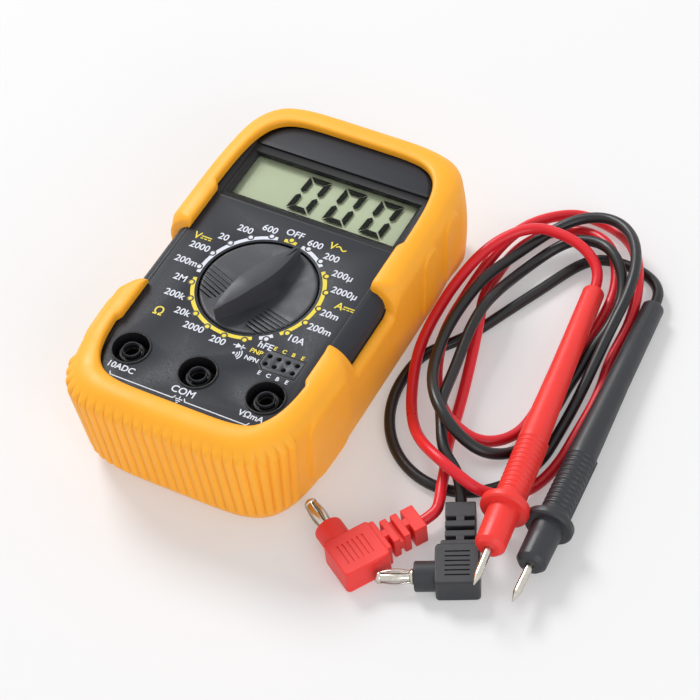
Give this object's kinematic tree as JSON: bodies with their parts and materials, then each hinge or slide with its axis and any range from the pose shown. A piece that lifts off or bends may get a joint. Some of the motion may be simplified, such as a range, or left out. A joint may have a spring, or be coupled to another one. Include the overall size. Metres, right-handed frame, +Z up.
{
  "type": "digital multimeter",
  "caption": "Hand-held digital multimeter in an orange rubber holster, with a range dial, a display, test sockets and a pair of test leads.",
  "frame": {"origin": "centre of the holster's underside, on the table", "axes": "+X to the right of the panel, +Y towards the display, +Z up out of the panel"},
  "size_m": [0.1289, 0.1331, 0.0341],
  "materials": {
    "holster_rubber": "satin",
    "case_plastic": "matte",
    "black_plastic": "matte",
    "window_clear": "gloss",
    "lcd_grey": "satin",
    "zebra_rubber": "matte",
    "board_green": "satin",
    "screw_steel": "satin",
    "copper": "satin",
    "nickel": "polished",
    "resistor_beige": "satin",
    "component_blue": "satin",
    "fuse_glass": "gloss",
    "battery_jacket": "satin",
    "wire_cover": "satin",
    "red_plastic": "satin",
    "red_sheath": "satin",
    "black_lead_plastic": "satin",
    "black_sheath": "satin"
  },
  "bodies": {
    "meter": {"holster": "holster_rubber", "front_case": "case_plastic", "rear_case": "case_plastic", "transistor_socket": "case_plastic", "lcd_holder": "black_plastic", "battery_snap": "black_plastic", "chip_blob": "black_plastic", "display_window": "window_clear", "lcd_glass": "lcd_grey", "zebra_strips": "zebra_rubber", "circuit_board": "board_green", "case_screws": "screw_steel", "board_screws": "screw_steel", "switch_tracks": "copper", "shunt_wire": "copper", "buzzer_disc": "copper", "input_socket_left": "nickel", "input_socket_middle": "nickel", "input_socket_right": "nickel", "transistor_contacts": "nickel", "fuse_caps": "nickel", "fuse_clips": "nickel", "battery_terminals": "nickel", "red_plug_pin": "nickel", "red_plug_spring": "nickel", "red_probe_tip": "nickel", "black_plug_pin": "nickel", "black_plug_spring": "nickel", "black_probe_tip": "nickel", "resistors": "resistor_beige", "capacitors": "component_blue", "trimmer": "component_blue", "fuse_tube": "fuse_glass", "battery_body": "battery_jacket", "battery_wires": "wire_cover", "red_plug_body": "red_plastic", "red_probe_handle": "red_plastic", "red_cable": "red_sheath", "black_plug_body": "black_lead_plastic", "black_probe_handle": "black_lead_plastic", "black_cable": "black_sheath"},
    "dial": {"dial_knob": "case_plastic", "contact_wipers": "copper", "detent_springs": "screw_steel", "detent_balls": "screw_steel"}
  },
  "joints": [
    {"name": "dial_turn", "type": "hinge", "parent": "meter", "child": "dial", "pos_m": [0, -0.0055, 0.025], "axis": [0, 0, 1], "continuous": true}
  ]
}
